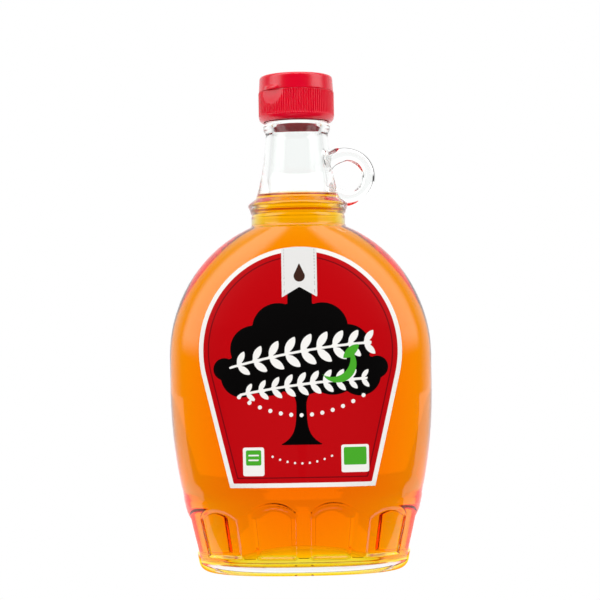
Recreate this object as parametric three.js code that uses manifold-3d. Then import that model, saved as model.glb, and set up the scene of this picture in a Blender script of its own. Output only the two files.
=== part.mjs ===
// A maple syrup bottle: an oval glass flask with a ring handle, filled, labelled and shut by a flip cap.
// Millimetres, +Z up. The base stands on z = 0, the label faces -Y and the ring handle is on the +X side.
import * as THREE from 'three';
import { mergeVertices } from 'three/addons/utils/BufferGeometryUtils.js';
import Module from 'manifold-3d';

// Body of the flask
const BODY_HALF_WIDTH = 55.1;
const BODY_HALF_DEPTH = 29.8;
const BODY_FULLNESS = 2.8;
const BODY_FULL_FROM = 44;
const BODY_FULL_TO = 96;
const DOME_CENTRE = 89.5;
const DOME_RISE = 58.5;
const DEPTH_PEAK = 70;
const DEPTH_RISE = 97;
const SIDE_FOOT = 76.7;
const SIDE_RADIUS = 209;

// Fluted base, with a crest where the body begins
const CREST_HALF_WIDTH = 50.2;
const CREST_HEIGHT = 29.6;
const CREST_LAND = 3.1;
const CREST_LIFT = 2.8;
const CREST_LIFT_END = 60;
const BASE_DEPTH_SHARE = 0.58;
const BASE_FULLNESS = 2.3;
const HEEL_HALF_WIDTH = 44.3;
const HEEL_RADIUS_ACROSS = 4;
const HEEL_RADIUS_UP = 4.6;
const BEARING_INNER = 33;
const PUSH_UP = 2;
const PUSH_UP_MIDWAY = 1.5;

// Arched flutes round the base
const FLUTE_PITCH = 22.4;
const FLUTE_HALF_WIDTH = 8.2;
const END_FLUTE_HALF_WIDTH = 10.4;
const FLUTE_FOOT = 7.6;
const FLUTE_TOP = 25.7;
const FLUTE_ARCH_RISE = 4;
const FLUTE_TAPER = 0.92;
const FLUTE_DEPTH = 0.9;
const FLUTE_MIDDLE = 17;
const FLUTE_CUT_REACH = 5;

// Round collar, neck and mouth
const DOME_END_RADIUS = 20.3;
const COLLAR_RADIUS = 19.9;
const COLLAR_FOOT = 144.6;
const ROUND_FROM = 143.6;
const GROOVE_HEIGHT = 149.1;
const GROOVE_DEPTH = 0.5;
const NOSE_RADIUS = 21.3;
const NOSE_HEIGHT = 152.8;
const NECK_FOOT_RADIUS = 18.3;
const NECK_FOOT = 157.5;
const NECK_BEND_RADIUS = 14.05;
const NECK_BEND = 167.8;
const NECK_TOP_RADIUS = 13.2;
const NECK_TOP = 183;
const BEAD_RADIUS = 14.7;
const BEAD_FOOT = 184.9;
const BEAD_TOP = 187;
const FINISH_RADIUS = 13.3;
const LIP_HEIGHT = 198.5;
const LIP_ROUND = 0.6;

// Inside of the glass
const WALL = 3;
const NECK_WALL = 2.5;
const MOUTH_RADIUS = 10.6;
const FLOOR_HEIGHT = 6.4;
const FLOOR_RISE = 1.2;
const FLOOR_HALF_WIDTH = 30.5;
const INNER_HEEL_TOP = 15;
const INNER_HEEL_ACROSS = 9;
const SHOULDER_INNER_RADIUS = 13.6;
const COLLAR_INNER_RADIUS = 13.2;
const NECK_FOOT_INNER_RADIUS = 12.6;

// Ring handle
const RING_CENTRE_X = 20.9;
const RING_CENTRE_Z = 165;
const RING_OUTER = 12.4;
const RING_HOLE = 6;
const RING_THICKNESS = 7;

// Syrup
const FILL_HEIGHT = 157.2;

// Front label
const LABEL_HALF_WIDTH = 41.4;
const LABEL_CENTRE = 92.2;
const LABEL_ARCH_RISE = 42.3;
const LABEL_FOOT = 36.8;
const LABEL_FOOT_HALF_WIDTH = 29.4;
const LABEL_THICKNESS = 0.35;

// Flip cap
const CAP_RADIUS = 16;
const CAP_FOOT = 188.4;
const CAP_FOOT_RADIUS = 14.8;
const CAP_RIM_TOP = 190.6;
const CAP_SEAM = 201;
const CAP_TOP = 207.8;
const CAP_INNER_RADIUS = 13.7;
const CAP_DECK_FOOT = 198.9;
const RIB_COUNT = 96;
const RIB_DEPTH = 0.35;
const LID_RADIUS = 15.8;
const LID_TOP_RADIUS = 15.5;
const LID_EDGE_ROUND = 1.3;
const THUMB_BEARING = -42;
const SCOOP_RADIUS = 16.4;
const SCOOP_DEPTH = 1.3;
const TAB_RADIUS = 7;
const TAB_REACH = 16.5;
const TAB_HEIGHT = 1.2;
const HINGE_WIDTH = 9;
const HINGE_FOOT = 198.2;
const HINGE_TOP = 203.4;
const HINGE_INNER = 14.9;
const HINGE_OUTER = 16.3;

// Fits and fineness
const GAP = 0.3;
const CUT_OVERSHOOT = 1;
const ROUND_STEPS = 40;
const DOME_STEPS = 11;
const ARC_STEPS = 4;
const FLUTE_STEPS = 8;
const LABEL_STEPS = 32;
const RING_STEPS = 28;
const RING_SIDES = 10;
const SCOOP_STEPS = 48;
const TAB_STEPS = 24;
const MERGE_TOLERANCE = 1e-4;

const QUARTER = Math.PI / 2;
const ELLIPSE = 2;
const wasm = await Module();
wasm.setup();

const glass = new THREE.MeshStandardMaterial({
  color: 0xeef4f2, roughness: 0.04, metalness: 0, transparent: true, opacity: 0.35,
});
const syrupAmber = new THREE.MeshStandardMaterial({ color: 0xf07a00, roughness: 0.08, metalness: 0 });
const capRed = new THREE.MeshStandardMaterial({ color: 0xe0122f, roughness: 0.3, metalness: 0 });
const labelRed = new THREE.MeshStandardMaterial({ color: 0xc00010, roughness: 0.45, metalness: 0 });

// Solids from closed geometry, and meshes from solids

function solid(geometry) {
  const bare = geometry.clone();
  bare.deleteAttribute('normal');
  bare.deleteAttribute('uv');
  const merged = mergeVertices(bare, MERGE_TOLERANCE);
  const corners = merged.index.array;
  const kept = [];
  for (let i = 0; i < corners.length; i += 3) {
    const [a, b, c] = corners.slice(i, i + 3);
    if (a !== b && b !== c && c !== a) kept.push(a, b, c);
  }
  return new wasm.Manifold(new wasm.Mesh({
    numProp: 3,
    vertProperties: Float32Array.from(merged.attributes.position.array),
    triVerts: Uint32Array.from(kept),
  }));
}

function mesh(name, body, material) {
  const made = body.getMesh();
  const geometry = new THREE.BufferGeometry();
  geometry.setAttribute('position', new THREE.BufferAttribute(made.vertProperties, 3));
  geometry.setIndex(new THREE.BufferAttribute(made.triVerts, 1));
  geometry.computeVertexNormals();
  const named = new THREE.Mesh(geometry, material);
  named.name = name;
  return named;
}

function point(radius, height) {
  return new THREE.Vector2(radius, height);
}

function ellipse(centreX, centreZ, across, up, from, to, steps) {
  return new THREE.EllipseCurve(centreX, centreZ, across, up, from, to).getPoints(steps);
}

// Turns a profile of half-widths into a body whose half-depth is given at each point of the profile
function ovalLathe(profile, depthAt, liftAt, fullAt) {
  const lathe = new THREE.LatheGeometry(profile, ROUND_STEPS);
  const place = lathe.attributes.position;
  for (let i = 0; i < place.count; i += 1) {
    const { x: width, y: height } = profile[i % profile.length];
    const sideways = width > 0 ? place.getX(i) / width : 0;
    const forward = width > 0 ? place.getZ(i) / width : 0;
    const full = fullAt(height);
    const sum = Math.abs(sideways) ** full + Math.abs(forward) ** full;
    const reach = sum > 0 ? sum ** (-1 / full) : 1;
    place.setXYZ(
      i,
      place.getX(i) * reach,
      -forward * reach * depthAt(width, height),
      height + liftAt(height) * forward ** 2,
    );
  }
  return lathe;
}

function roundLathe(profile) {
  return ovalLathe(profile, (width) => width, () => 0, () => ELLIPSE);
}

// Sections of the flask

function depthAt(width, height, inset) {
  const deepest = BODY_HALF_DEPTH - inset;
  if (height > ROUND_FROM) return width;
  if (height < CREST_HEIGHT + CREST_LAND) return (width + inset) * BASE_DEPTH_SHARE - inset;
  if (height > DEPTH_PEAK) {
    return deepest * Math.sqrt(1 - ((height - DEPTH_PEAK) / (DEPTH_RISE - inset)) ** 2);
  }
  const lowest = (CREST_HALF_WIDTH + GAP) * BASE_DEPTH_SHARE - inset;
  const down = (DEPTH_PEAK - height) / (DEPTH_PEAK - CREST_HEIGHT - CREST_LAND);
  return deepest - (deepest - lowest) * down ** 2;
}

// How square the oval section is at a height: a plain ellipse at the collar, fuller at the base and body
function fullness(height) {
  const { mapLinear } = THREE.MathUtils;
  if (height >= ROUND_FROM) return ELLIPSE;
  if (height <= CREST_HEIGHT) return BASE_FULLNESS;
  if (height < BODY_FULL_FROM) {
    return mapLinear(height, CREST_HEIGHT, BODY_FULL_FROM, BASE_FULLNESS, BODY_FULLNESS);
  }
  if (height <= BODY_FULL_TO) return BODY_FULLNESS;
  return mapLinear(height, BODY_FULL_TO, ROUND_FROM, BODY_FULLNESS, ELLIPSE);
}

// The crest stands higher on the two broad faces than at the ends
function crestLift(height) {
  const landTop = CREST_HEIGHT + CREST_LAND;
  if (height <= HEEL_RADIUS_UP || height >= CREST_LIFT_END) return 0;
  if (height <= CREST_HEIGHT) {
    return CREST_LIFT * (height - HEEL_RADIUS_UP) / (CREST_HEIGHT - HEEL_RADIUS_UP);
  }
  if (height <= landTop) return CREST_LIFT;
  return CREST_LIFT * (CREST_LIFT_END - height) / (CREST_LIFT_END - landTop);
}

function sideArc(grow, steps) {
  const landTop = CREST_HEIGHT + CREST_LAND;
  const lowest = Math.asin((SIDE_FOOT - landTop) / SIDE_RADIUS);
  const radius = SIDE_RADIUS + grow;
  return ellipse(BODY_HALF_WIDTH - SIDE_RADIUS, SIDE_FOOT, radius, radius, -lowest, 0, steps);
}

function dome(grow, endRadius, steps) {
  const across = BODY_HALF_WIDTH + grow;
  const end = Math.acos(endRadius / across);
  return ellipse(0, DOME_CENTRE, across, DOME_RISE + grow, 0, end, steps);
}

function neckCurve(steps) {
  return new THREE.QuadraticBezierCurve(
    point(NECK_FOOT_RADIUS, NECK_FOOT),
    point(NECK_BEND_RADIUS, NECK_BEND),
    point(NECK_TOP_RADIUS, NECK_TOP),
  ).getPoints(steps);
}

function basePoints(grow) {
  const heelX = HEEL_HALF_WIDTH - HEEL_RADIUS_ACROSS;
  const heelAcross = HEEL_RADIUS_ACROSS + grow;
  return [
    point(0, PUSH_UP),
    point(BEARING_INNER / 2, PUSH_UP_MIDWAY),
    point(BEARING_INNER, 0),
    ...ellipse(heelX, HEEL_RADIUS_UP, heelAcross, HEEL_RADIUS_UP, -QUARTER, 0, ARC_STEPS),
    point(CREST_HALF_WIDTH + grow, CREST_HEIGHT),
  ];
}

function outerProfile() {
  return [
    ...basePoints(0),
    ...sideArc(0, ARC_STEPS + 1),
    ...dome(0, DOME_END_RADIUS, DOME_STEPS),
    point(COLLAR_RADIUS, COLLAR_FOOT),
    point(COLLAR_RADIUS, GROOVE_HEIGHT - GROOVE_DEPTH),
    point(COLLAR_RADIUS - GROOVE_DEPTH, GROOVE_HEIGHT),
    point(COLLAR_RADIUS + GROOVE_DEPTH / 2, GROOVE_HEIGHT + GROOVE_DEPTH),
    point(COLLAR_RADIUS + GROOVE_DEPTH, NOSE_HEIGHT - 3 * GROOVE_DEPTH),
    point(NOSE_RADIUS, NOSE_HEIGHT),
    point(NOSE_RADIUS - GROOVE_DEPTH, NOSE_HEIGHT + 2 * GROOVE_DEPTH),
    ...neckCurve(ARC_STEPS + 1),
    point(NECK_TOP_RADIUS + GAP, BEAD_FOOT - BEAD_RADIUS + FINISH_RADIUS + GAP),
    point(BEAD_RADIUS, BEAD_FOOT),
    point(BEAD_RADIUS, BEAD_TOP),
    point(FINISH_RADIUS, BEAD_TOP + LIP_ROUND),
    point(FINISH_RADIUS, LIP_HEIGHT - LIP_ROUND),
    point(FINISH_RADIUS - LIP_ROUND, LIP_HEIGHT),
    point(0, LIP_HEIGHT),
  ];
}

// The room inside the glass, drawn smaller by the inset
function insidePoints(inset) {
  const heelAcross = INNER_HEEL_ACROSS - inset;
  const heelUp = INNER_HEEL_TOP - FLOOR_HEIGHT - inset;
  return [
    point(0, FLOOR_HEIGHT + FLOOR_RISE + inset),
    ...ellipse(FLOOR_HALF_WIDTH, INNER_HEEL_TOP, heelAcross, heelUp, -QUARTER, 0, ARC_STEPS),
    ...sideArc(-WALL - inset, ARC_STEPS),
    ...dome(-WALL - inset, SHOULDER_INNER_RADIUS - inset, DOME_STEPS - 2),
    point(SHOULDER_INNER_RADIUS - inset, COLLAR_FOOT),
    point(COLLAR_INNER_RADIUS - inset, NOSE_HEIGHT),
  ];
}

function insideDepth(inset) {
  return (width, height) => depthAt(width, height, WALL + inset);
}

function cavity() {
  const profile = [
    ...insidePoints(0),
    point(NECK_FOOT_INNER_RADIUS, NECK_FOOT),
    point(NECK_TOP_RADIUS - NECK_WALL, NECK_TOP),
    point(MOUTH_RADIUS, LIP_HEIGHT + CUT_OVERSHOOT),
    point(0, LIP_HEIGHT + CUT_OVERSHOOT),
  ];
  return solid(ovalLathe(profile, insideDepth(0), () => 0, fullness));
}

// Outer body drawn larger or smaller by a few tenths, for the label and the flute floors
function shell(grow) {
  const profile = [
    ...basePoints(grow),
    ...sideArc(grow, ARC_STEPS + 1),
    ...dome(grow, DOME_END_RADIUS, DOME_STEPS),
    point(0, COLLAR_FOOT),
  ];
  return solid(ovalLathe(profile, (width, height) => depthAt(width, height, -grow), crestLift, fullness));
}

// Arched flutes

function fluteOutline(halfWidth, foot, top) {
  const arch = FLUTE_ARCH_RISE;
  const radius = (halfWidth ** 2 + arch ** 2) / (2 * arch);
  const spring = Math.asin((radius - arch) / radius);
  const outline = new THREE.Shape();
  outline.moveTo(-halfWidth * FLUTE_TAPER, foot);
  outline.lineTo(halfWidth * FLUTE_TAPER, foot);
  outline.absarc(0, top - radius, radius, spring, Math.PI - spring, false);
  outline.closePath();
  return outline;
}

function flutePrism(place, across, deep, halfWidth) {
  const forward = (place.y / deep) ** 2;
  const outline = fluteOutline(halfWidth, FLUTE_FOOT, FLUTE_TOP + CREST_LIFT * forward);
  const prism = new THREE.ExtrudeGeometry(outline, {
    depth: 2 * FLUTE_CUT_REACH, bevelEnabled: false, curveSegments: FLUTE_STEPS,
  });
  const outward = new THREE.Vector3(place.x / across ** 2, place.y / deep ** 2, 0).normalize();
  const up = new THREE.Vector3(0, 0, 1);
  const sideways = new THREE.Vector3().crossVectors(up, outward);
  const stand = new THREE.Matrix4().makeBasis(sideways, up, outward);
  const start = new THREE.Vector3(place.x, place.y, 0).addScaledVector(outward, -FLUTE_CUT_REACH);
  stand.setPosition(start);
  return solid(prism.applyMatrix4(stand));
}

function flutes() {
  const taper = (CREST_HALF_WIDTH - HEEL_HALF_WIDTH) / (CREST_HEIGHT - HEEL_RADIUS_UP);
  const across = HEEL_HALF_WIDTH + taper * (FLUTE_MIDDLE - HEEL_RADIUS_UP);
  const deep = across * BASE_DEPTH_SHARE;
  const ring = new THREE.EllipseCurve(0, 0, across, deep, -QUARTER, 3 * QUARTER);
  const total = ring.getLength();
  let cutters = flutePrism(point(across, 0), across, deep, END_FLUTE_HALF_WIDTH);
  cutters = cutters.add(flutePrism(point(-across, 0), across, deep, END_FLUTE_HALF_WIDTH));
  for (const middle of [0, total / 2]) {
    for (const step of [-1.5, -0.5, 0.5, 1.5]) {
      const along = (middle + step * FLUTE_PITCH + total) % total;
      cutters = cutters.add(flutePrism(ring.getPointAt(along / total), across, deep, FLUTE_HALF_WIDTH));
    }
  }
  return cutters.subtract(shell(-FLUTE_DEPTH));
}

// The five pieces

function ringHandle() {
  const tube = (RING_OUTER - RING_HOLE) / 2;
  const torus = new THREE.TorusGeometry(RING_HOLE + tube, tube, RING_SIDES, RING_STEPS);
  torus.scale(1, 1, RING_THICKNESS / (2 * tube));
  torus.rotateX(QUARTER);
  torus.translate(RING_CENTRE_X, 0, RING_CENTRE_Z);
  return solid(torus);
}

function bottleGlass() {
  const depth = (width, height) => depthAt(width, height, 0);
  const outer = solid(ovalLathe(outerProfile(), depth, crestLift, fullness));
  return outer.subtract(flutes()).add(ringHandle()).subtract(cavity());
}

function syrup() {
  const surface = point(NECK_FOOT_INNER_RADIUS - GAP, FILL_HEIGHT);
  const profile = [...insidePoints(GAP), surface, point(0, FILL_HEIGHT)];
  return solid(ovalLathe(profile, insideDepth(GAP), () => 0, fullness));
}

function labelOutline() {
  const towards = new THREE.Vector2(
    LABEL_FOOT_HALF_WIDTH / LABEL_HALF_WIDTH,
    (LABEL_FOOT - LABEL_CENTRE) / LABEL_ARCH_RISE,
  );
  const tangent = Math.atan2(towards.y, towards.x) + Math.acos(1 / towards.length());
  const outline = new THREE.Shape();
  outline.moveTo(-LABEL_FOOT_HALF_WIDTH, LABEL_FOOT);
  outline.lineTo(LABEL_FOOT_HALF_WIDTH, LABEL_FOOT);
  outline.absellipse(
    0, LABEL_CENTRE, LABEL_HALF_WIDTH, LABEL_ARCH_RISE, tangent, Math.PI - tangent, false,
  );
  outline.closePath();
  return outline;
}

function frontLabel() {
  const prism = new THREE.ExtrudeGeometry(labelOutline(), {
    depth: BODY_HALF_DEPTH + CUT_OVERSHOOT, bevelEnabled: false, curveSegments: LABEL_STEPS,
  });
  prism.rotateX(QUARTER);
  const skin = shell(GAP + LABEL_THICKNESS).subtract(shell(GAP));
  return skin.intersect(solid(prism));
}

function ribbedOutline() {
  const outline = new THREE.Shape();
  for (let i = 0; i < 2 * RIB_COUNT; i += 1) {
    const angle = Math.PI * i / RIB_COUNT;
    const radius = CAP_RADIUS - (i % 2) * RIB_DEPTH;
    const corner = point(radius * Math.cos(angle), radius * Math.sin(angle));
    if (i === 0) outline.moveTo(corner.x, corner.y);
    else outline.lineTo(corner.x, corner.y);
  }
  outline.closePath();
  return outline;
}

// Turns a shape built along -Y round to a bearing, in degrees to the right of the front
function turned(geometry, bearing) {
  return geometry.rotateZ(THREE.MathUtils.degToRad(bearing));
}

function hingeStrap(clearance) {
  const deep = HINGE_OUTER - HINGE_INNER + 2 * clearance;
  const high = HINGE_TOP - HINGE_FOOT + 2 * clearance;
  const strap = new THREE.BoxGeometry(HINGE_WIDTH + 2 * clearance, deep, high);
  strap.translate(0, -(HINGE_INNER + HINGE_OUTER) / 2, (HINGE_FOOT + HINGE_TOP) / 2);
  return solid(turned(strap, THUMB_BEARING + 180));
}

function capBase() {
  const skirt = new THREE.ExtrudeGeometry(ribbedOutline(), {
    depth: CAP_SEAM - CAP_RIM_TOP, bevelEnabled: false,
  });
  skirt.translate(0, 0, CAP_RIM_TOP);
  const rimRadius = CAP_RADIUS - RIB_DEPTH / 2;
  const rim = roundLathe([
    point(0, CAP_FOOT),
    point(CAP_FOOT_RADIUS, CAP_FOOT),
    point(rimRadius, (CAP_FOOT + CAP_RIM_TOP) / 2),
    point(rimRadius, CAP_RIM_TOP + CUT_OVERSHOOT),
    point(0, CAP_RIM_TOP + CUT_OVERSHOOT),
  ]);
  const bore = roundLathe([
    point(0, CAP_FOOT - CUT_OVERSHOOT),
    point(CAP_INNER_RADIUS, CAP_FOOT - CUT_OVERSHOOT),
    point(CAP_INNER_RADIUS, CAP_DECK_FOOT),
    point(0, CAP_DECK_FOOT),
  ]);
  const scoop = new THREE.CylinderGeometry(SCOOP_RADIUS, SCOOP_RADIUS, 2 * SCOOP_RADIUS, SCOOP_STEPS);
  scoop.rotateZ(QUARTER);
  scoop.translate(0, -(CAP_RADIUS - SCOOP_DEPTH + SCOOP_RADIUS), CAP_SEAM);
  return solid(skirt)
    .add(solid(rim))
    .subtract(solid(turned(scoop, THUMB_BEARING)))
    .add(hingeStrap(0))
    .subtract(solid(bore));
}

function capLid() {
  const foot = CAP_SEAM + GAP;
  const edgeX = LID_TOP_RADIUS - LID_EDGE_ROUND;
  const edgeZ = CAP_TOP - LID_EDGE_ROUND;
  const body = roundLathe([
    point(0, foot),
    point(LID_RADIUS, foot),
    ...ellipse(edgeX, edgeZ, LID_EDGE_ROUND, LID_EDGE_ROUND, 0, QUARTER, ARC_STEPS - 1),
    point(0, CAP_TOP),
  ]);
  const tab = new THREE.CylinderGeometry(TAB_RADIUS, TAB_RADIUS, TAB_HEIGHT, TAB_STEPS);
  tab.rotateX(QUARTER);
  tab.translate(0, TAB_RADIUS - TAB_REACH, foot + TAB_HEIGHT / 2);
  return solid(body).add(solid(turned(tab, THUMB_BEARING))).subtract(hingeStrap(GAP));
}

const bottle = new THREE.Group();
bottle.add(
  mesh('bottle_glass', bottleGlass(), glass),
  mesh('syrup', syrup(), syrupAmber),
  mesh('front_label', frontLabel(), labelRed),
  mesh('cap_base', capBase(), capRed),
  mesh('cap_lid', capLid(), capRed),
);

export default bottle;
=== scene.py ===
import math

import bpy
import numpy as np
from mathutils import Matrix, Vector


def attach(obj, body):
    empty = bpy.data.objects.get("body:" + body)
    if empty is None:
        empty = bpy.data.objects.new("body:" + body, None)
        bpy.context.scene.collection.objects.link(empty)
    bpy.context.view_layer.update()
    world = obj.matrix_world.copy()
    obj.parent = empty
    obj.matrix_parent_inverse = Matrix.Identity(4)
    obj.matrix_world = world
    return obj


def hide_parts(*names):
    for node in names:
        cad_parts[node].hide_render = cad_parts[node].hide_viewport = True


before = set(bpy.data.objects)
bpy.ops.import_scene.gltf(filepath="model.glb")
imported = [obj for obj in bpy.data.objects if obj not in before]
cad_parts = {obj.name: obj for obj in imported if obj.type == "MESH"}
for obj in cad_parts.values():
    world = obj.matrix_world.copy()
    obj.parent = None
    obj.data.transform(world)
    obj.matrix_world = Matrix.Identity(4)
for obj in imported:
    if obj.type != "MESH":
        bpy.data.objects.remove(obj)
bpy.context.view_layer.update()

BODY = "root"

# Sizes in millimetres, in the bottle's own frame: base on z = 0, label towards -Y, ring handle towards +X
MM = 0.001

# Body of the flask
BODY_HALF_WIDTH = 55.1
BODY_HALF_DEPTH = 29.8
BODY_FULLNESS = 2.95
BODY_FULL_FROM = 37.0
BODY_FULL_TO = 102.0
ELLIPSE = 2.0
DOME_CENTRE = 89.5
DOME_RISE = 58.5
DEPTH_PEAK = 70.0
DEPTH_RISE = 97.0
SIDE_FOOT = 76.7
SIDE_RADIUS = 209.0

# Fluted base, with a crest where the body begins
CREST_HALF_WIDTH = 50.2
CREST_HEIGHT = 29.6
CREST_LAND = 3.1
CREST_LIFT = 2.8
CREST_LIFT_END = 60.0
LAND_TOP = CREST_HEIGHT + CREST_LAND
BASE_DEPTH_SHARE = 0.58
BASE_FULLNESS = 2.45
HEEL_HALF_WIDTH = 44.3
HEEL_RADIUS_ACROSS = 4.0
HEEL_RADIUS_UP = 4.6
BEARING_INNER = 33.0
PUSH_UP = 2.0

# Arched flutes round the base
FLUTE_PITCH = 22.4
FLUTE_HALF_WIDTH = 8.4
END_FLUTE_HALF_WIDTH = 10.6
FLUTE_FOOT = 7.0
FLUTE_TOP = 26.2
FLUTE_ARCH_RISE = 4.0
FLUTE_TAPER = 0.92
FLUTE_DEPTH = 1.1
FLUTE_MIDDLE = 17.0
BEVEL_SIDE = 1.1
BEVEL_ARCH = 1.5
BEVEL_FOOT = 1.6

# Round collar, neck and mouth
DOME_END_RADIUS = 20.3
COLLAR_RADIUS = 19.9
COLLAR_FOOT = 144.6
ROUND_FROM = 143.6
GROOVE_HEIGHT = 149.1
GROOVE_DEPTH = 0.5
NOSE_RADIUS = 21.3
NOSE_HEIGHT = 152.8
NECK_FOOT = (17.8, 156.0)
NECK_BEND = (14.05, 167.8)
NECK_TOP = (13.2, 183.0)
BEAD_RADIUS = 14.1
BEAD_FOOT = 184.9
BEAD_TOP = 187.0
FINISH_RADIUS = 13.3
LIP_HEIGHT = 198.5
LIP_ROUND = 0.6

# Inside of the glass
WALL = 3.0
NECK_WALL = 2.5
MOUTH_RADIUS = 10.6
FLOOR_HEIGHT = 3.4
FLOOR_RISE = 8.0
FLOOR_BEND = 0.6
FLOOR_HALF_WIDTH = 32.5
INNER_HEEL_TOP = 10.5
INNER_HEEL_ACROSS = 7.5
SHOULDER_INNER_RADIUS = 13.6
COLLAR_INNER_RADIUS = 13.2
NECK_FOOT_INNER_RADIUS = 12.6

# Ring handle
RING_CENTRE = (20.9, 165.0)
RING_OUTER = 12.4
RING_HOLE = 6.0
RING_THICKNESS = 7.0
RING_FLARE = 0.28
RING_FLARE_PLACE = 1.15
RING_FLARE_SPREAD = 0.55

# Syrup
FILL_HEIGHT = 156.6
SYRUP_OVERLAP = 0.2
MENISCUS_RISE = 0.5
MENISCUS_REACH = 1.6

# Front label
LABEL_HALF_WIDTH = 41.4
LABEL_CENTRE = 92.2
LABEL_ARCH_RISE = 42.3
LABEL_FOOT = 36.8
LABEL_FOOT_HALF_WIDTH = 29.4
LABEL_SUNK = 0.04
LABEL_PROUD = 0.16
UNPRINTED = -9.0

# Flip cap
CAP_RADIUS = 16.0
CAP_FOOT = 188.4
CAP_FOOT_RADIUS = 14.8
CAP_RIM_TOP = 190.6
CAP_SEAM = 201.0
CAP_TOP = 207.8
CAP_INNER_RADIUS = 13.7
CAP_DECK_FOOT = 198.9
RIB_COUNT = 96
RIB_DEPTH = 0.4
RIB_FADE = 0.5
CAP_CHAMFER = 0.3
SEAM_GAP = 0.12
LID_RADIUS = 15.8
LID_TOP_RADIUS = 15.5
LID_EDGE_ROUND = 1.3
THUMB_BEARING = -42.0
SCOOP_RADIUS = 16.4
SCOOP_DEPTH = 1.3
SCOOP_SPREAD = 1.2
TAB_RADIUS = 7.0
TAB_REACH = 16.5
TAB_HEIGHT = 1.2
TAB_SPREAD = 0.8
TAB_FADE = 0.8
HINGE_WIDTH = 9.0
HINGE_FOOT = 198.2
HINGE_TOP = 203.4
HINGE_INNER = 14.9
HINGE_OUTER = 16.3
HINGE_ROUND = 0.35
HINGE_ROUND_UP = 0.6
HINGE_PINCH = 0.25
HINGE_PINCH_REACH = 0.5

# Fineness of the meshes
PATH_STEP = 0.2
GLASS_COLUMNS = 320
CAVITY_COLUMNS = 200
RIB_COLUMNS = 10
LID_COLUMNS = 240
RING_STEPS = 96
RING_SIDES = 32
HINGE_COLUMNS = 25
HINGE_ROWS = 17
LABEL_COLUMNS = 150
LABEL_SIDE_ROWS = 80
LABEL_ARCH_ROWS = 110
QUARTER = math.pi / 2


# Curves and profiles

def arc(centre, radii, start, end, count=48):
    angles = np.linspace(start, end, count)
    return np.column_stack([centre[0] + radii[0] * np.cos(angles), centre[1] + radii[1] * np.sin(angles)])


def bend(start, middle, end, count=48):
    t = np.linspace(0, 1, count)[:, None]
    return (1 - t) ** 2 * np.array(start) + 2 * t * (1 - t) * np.array(middle) + t ** 2 * np.array(end)


def even_path(points, step=PATH_STEP):
    """The same path with points a fixed step apart."""
    points = np.asarray(points, float)
    lengths = np.linalg.norm(np.diff(points, axis=0), axis=1)
    along = np.concatenate([[0], np.cumsum(lengths)])
    wanted = np.linspace(0, along[-1], int(along[-1] / step) + 1)
    return np.column_stack([np.interp(wanted, along, points[:, k]) for k in range(points.shape[1])])


def soften(path, reach):
    """Rounds the corners of an even path over about the given reach in millimetres."""
    steps = max(1, int(reach / PATH_STEP))
    weights = np.exp(-0.5 * (np.arange(-3 * steps, 3 * steps + 1) / steps) ** 2)
    weights /= weights.sum()
    before = 2 * path[0] - path[3 * steps:0:-1]
    after = 2 * path[-1] - path[-2:-3 * steps - 2:-1]
    padded = np.vstack([before, path, after])
    return np.column_stack([np.convolve(padded[:, k], weights, "valid") for k in range(path.shape[1])])


def thin_rows(path, tolerance, longest):
    """Keeps the points that the path's shape needs, and none further apart than longest(height)."""
    kept = [0]
    while kept[-1] < len(path) - 1:
        start = kept[-1]
        end = start + 1
        while end + 1 < len(path):
            chord = path[end + 1] - path[start]
            length = np.linalg.norm(chord)
            if length > longest(path[start][1]):
                break
            between = path[start + 1:end + 1] - path[start]
            away = between - np.outer(between @ chord, chord) / length ** 2
            if np.linalg.norm(away, axis=1).max() > tolerance:
                break
            end += 1
        kept.append(end)
    return path[kept]


# Sections of the flask

def half_depth(width, height, inset=0.0):
    deepest = BODY_HALF_DEPTH - inset
    low = (width + inset) * BASE_DEPTH_SHARE - inset
    upper = deepest * np.sqrt(np.clip(1 - ((height - DEPTH_PEAK) / (DEPTH_RISE - inset)) ** 2, 0, 1))
    lowest = (CREST_HALF_WIDTH + 0.3) * BASE_DEPTH_SHARE - inset
    down = (DEPTH_PEAK - height) / (DEPTH_PEAK - LAND_TOP)
    lower = deepest - (deepest - lowest) * down ** 2
    body = np.where(height > DEPTH_PEAK, upper, lower)
    return np.where(height > ROUND_FROM, width, np.where(height < LAND_TOP, low, body))


def fullness(height):
    """How square the oval section is: a plain ellipse at the collar, fuller at the base and body."""
    knots = [CREST_HEIGHT, BODY_FULL_FROM, BODY_FULL_TO, ROUND_FROM]
    return np.interp(height, knots, [BASE_FULLNESS, BODY_FULLNESS, BODY_FULLNESS, ELLIPSE])


def crest_lift(height):
    knots = [HEEL_RADIUS_UP, CREST_HEIGHT, LAND_TOP, CREST_LIFT_END]
    return np.interp(height, knots, [0, CREST_LIFT, CREST_LIFT, 0], left=0, right=0)


def side_arc(grow):
    lowest = math.asin((SIDE_FOOT - LAND_TOP) / SIDE_RADIUS)
    radius = SIDE_RADIUS + grow
    return arc((BODY_HALF_WIDTH - SIDE_RADIUS, SIDE_FOOT), (radius, radius), -lowest, 0)


def dome(grow, end_radius):
    across = BODY_HALF_WIDTH + grow
    return arc((0, DOME_CENTRE), (across, DOME_RISE + grow), 0, math.acos(end_radius / across), 96)


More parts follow.
